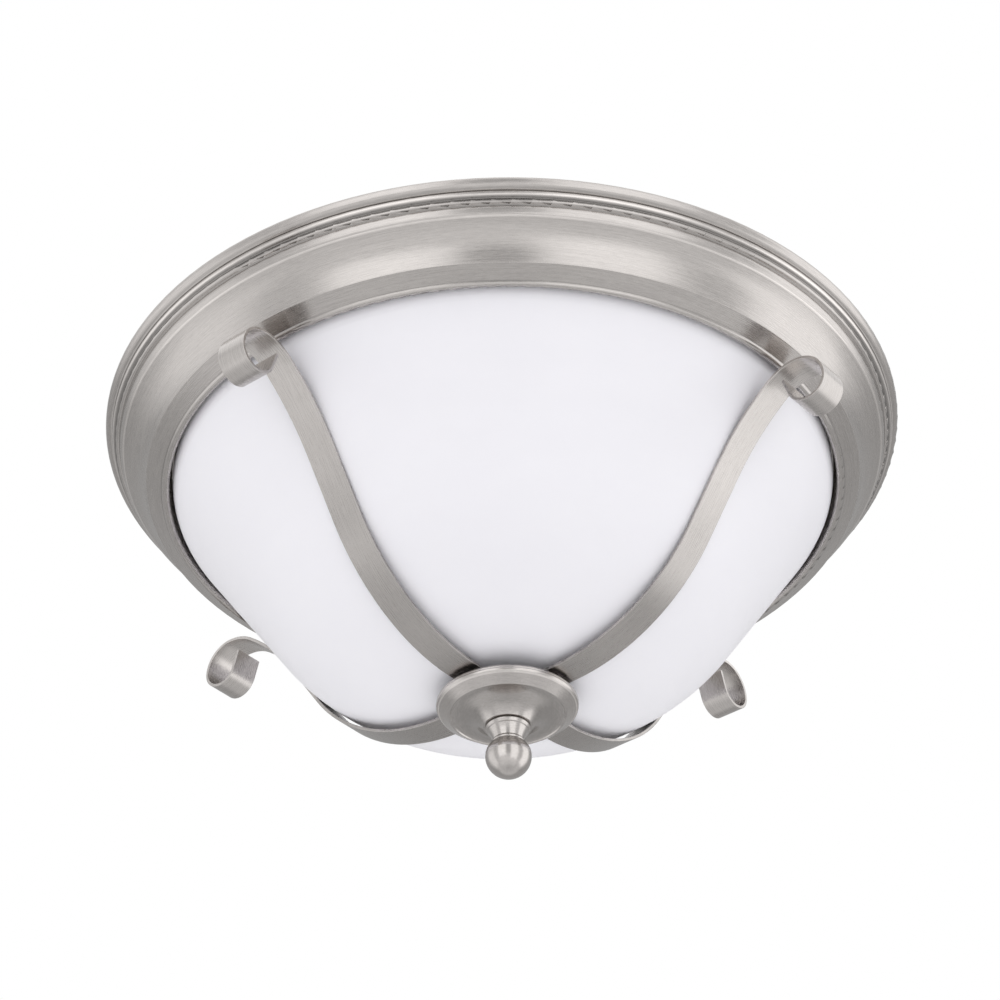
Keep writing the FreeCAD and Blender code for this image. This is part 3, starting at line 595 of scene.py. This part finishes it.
# ---- floor, world, light, camera ---------------------------------------------------------------
def add_floor():
    mesh = bpy.data.meshes.new("floor")
    corners = ((-1, -1), (1, -1), (1, 1), (-1, 1))
    mesh.from_pydata([(x * FLOOR_HALF, y * FLOOR_HALF, FLOOR_Z) for x, y in corners], [], [(0, 1, 2, 3)])
    floor = bpy.data.objects.new("floor", mesh)
    bpy.context.scene.collection.objects.link(floor)
    g = Graph("floor_paper")
    g.colour(g.tint(g.noise(g.place(), scale=0.6), (0.88, 0.88, 0.88), (0.92, 0.92, 0.92)))
    g.roughness(0.9)
    mesh.materials.append(g.material)
    floor.visible_glossy = False


# The studio round the object, as the metal sees it: a white room with soft boxes and open gaps.
# (turn from the camera's side, half-width, soft edge, height, half-height, soft edge, amount), in degrees
STUDIO = (
    (30.0, 15.0, 8.0, 2.0, 32.0, 12.0, 0.65),
    (-30.0, 15.0, 8.0, 8.0, 26.0, 12.0, 0.65),
    (92.0, 15.0, 8.0, -2.0, 32.0, 12.0, 0.68),
    (-90.0, 14.0, 8.0, -10.0, 24.0, 12.0, 0.30),
    (0.0, 9.0, 8.0, 12.0, 20.0, 12.0, -0.32),
    (66.0, 8.0, 6.0, 0.0, 40.0, 12.0, -0.12),
    (-66.0, 8.0, 6.0, 0.0, 40.0, 12.0, -0.14),
    (0.0, 60.0, 22.0, -50.0, 14.0, 14.0, 0.16),
    (180.0, 52.0, 16.0, -4.0, 32.0, 16.0, -0.42),
    (-180.0, 52.0, 16.0, -4.0, 32.0, 16.0, -0.42),
)
# the room's tone by height: (degrees above the horizon, tone)
STUDIO_TONES = ((-90.0, 0.68), (-62.0, 0.82), (-40.0, 0.94), (0.0, 0.95), (22.0, 0.90), (45.0, 1.04),
                (58.0, 1.30), (90.0, 1.15))
STUDIO_DARKEST = 0.3
DEGREES = 180.0 / math.pi


def add_world():
    world = bpy.data.worlds.new("studio")
    bpy.context.scene.world = world
    world.use_nodes = True
    world.node_tree.nodes.clear()
    g = Nodes(world.node_tree)
    right, ahead, _ = camera_axes()
    level = Vector((ahead.x, ahead.y, 0.0)).normalized()

    def along(axis):
        node = g.add("ShaderNodeVectorMath", operation="DOT_PRODUCT")
        g.wire(g.coords.outputs["Generated"], node.inputs[0])
        node.inputs[1].default_value = axis
        return node.outputs["Value"]

    turn = g.times(g.math("ARCTAN2", along(right), along(-level)), DEGREES)
    height = g.times(g.math("ARCSINE", along(Vector((0.0, 0.0, 1.0)))), DEGREES)
    stops = [((at + 90.0) / 180.0, tone) for at, tone in STUDIO_TONES]
    total = g.grey_ramp(g.span(height, 0.0, 1.0, (-90.0, 90.0)), stops)
    for at, half, soft, middle, half_height, soft_height, amount in STUDIO:
        seen = g.times(g.window(turn, at, half, soft), g.window(height, middle, half_height, soft_height))
        total = g.plus(total, g.times(seen, amount))
    room = g.add("ShaderNodeBackground")
    g.wire(g.math("MAXIMUM", total, STUDIO_DARKEST), room.inputs["Color"])
    white = g.add("ShaderNodeBackground")
    white.inputs["Color"].default_value = (1.0, 1.0, 1.0, 1.0)
    path = g.add("ShaderNodeLightPath")
    mix = g.add("ShaderNodeMixShader")
    g.wire(g.math("MAXIMUM", path.outputs["Is Camera Ray"], path.outputs["Is Transmission Ray"]),
           mix.inputs[0])
    g.wire(room.outputs[0], mix.inputs[1])
    g.wire(white.outputs[0], mix.inputs[2])
    g.wire(mix.outputs[0], g.add("ShaderNodeOutputWorld").inputs["Surface"])


def add_light():
    """A soft light from above, for the views of the pan's back. An area light shines down unturned."""
    data = bpy.data.lights.new("overhead", "AREA")
    data.shape = "RECTANGLE"
    data.size = OVERHEAD_SIZE
    data.size_y = OVERHEAD_SIZE
    data.energy = OVERHEAD_POWER
    light = bpy.data.objects.new("overhead", data)
    bpy.context.scene.collection.objects.link(light)
    light.location = OVERHEAD_PLACE
    light.visible_camera = False


def camera_axes():
    """The directions right (level), ahead and up of the camera before its roll."""
    right = Vector((math.cos(AZIMUTH), math.sin(AZIMUTH), 0.0))
    ahead = Vector((-math.sin(AZIMUTH) * math.cos(ELEVATION), math.cos(AZIMUTH) * math.cos(ELEVATION),
                    math.sin(ELEVATION)))
    return right, ahead, right.cross(ahead)


def add_camera():
    right, ahead, up = camera_axes()
    rolled_right = (right - ROLL * up).normalized()
    rolled_up = (up + ROLL * right).normalized()
    place = right * TARGET_SIDE + Vector((0.0, 0.0, TARGET_Z)) - ahead * DISTANCE
    data = bpy.data.cameras.new("camera")
    data.lens = LENS
    data.sensor_width = SENSOR_WIDTH
    data.clip_start = CLIP_START
    data.clip_end = CLIP_END
    camera = bpy.data.objects.new("camera", data)
    bpy.context.scene.collection.objects.link(camera)
    camera.matrix_world = Matrix((
        (rolled_right.x, rolled_up.x, -ahead.x, place.x),
        (rolled_right.y, rolled_up.y, -ahead.y, place.y),
        (rolled_right.z, rolled_up.z, -ahead.z, place.z),
        (0.0, 0.0, 0.0, 1.0)))
    bpy.context.scene.camera = camera


dress_nickel()
dress_small_metal()
dress_other()
soft_pieces()
add_floor()
add_world()
add_light()
add_camera()
bpy.context.scene.view_settings.view_transform = "Standard"
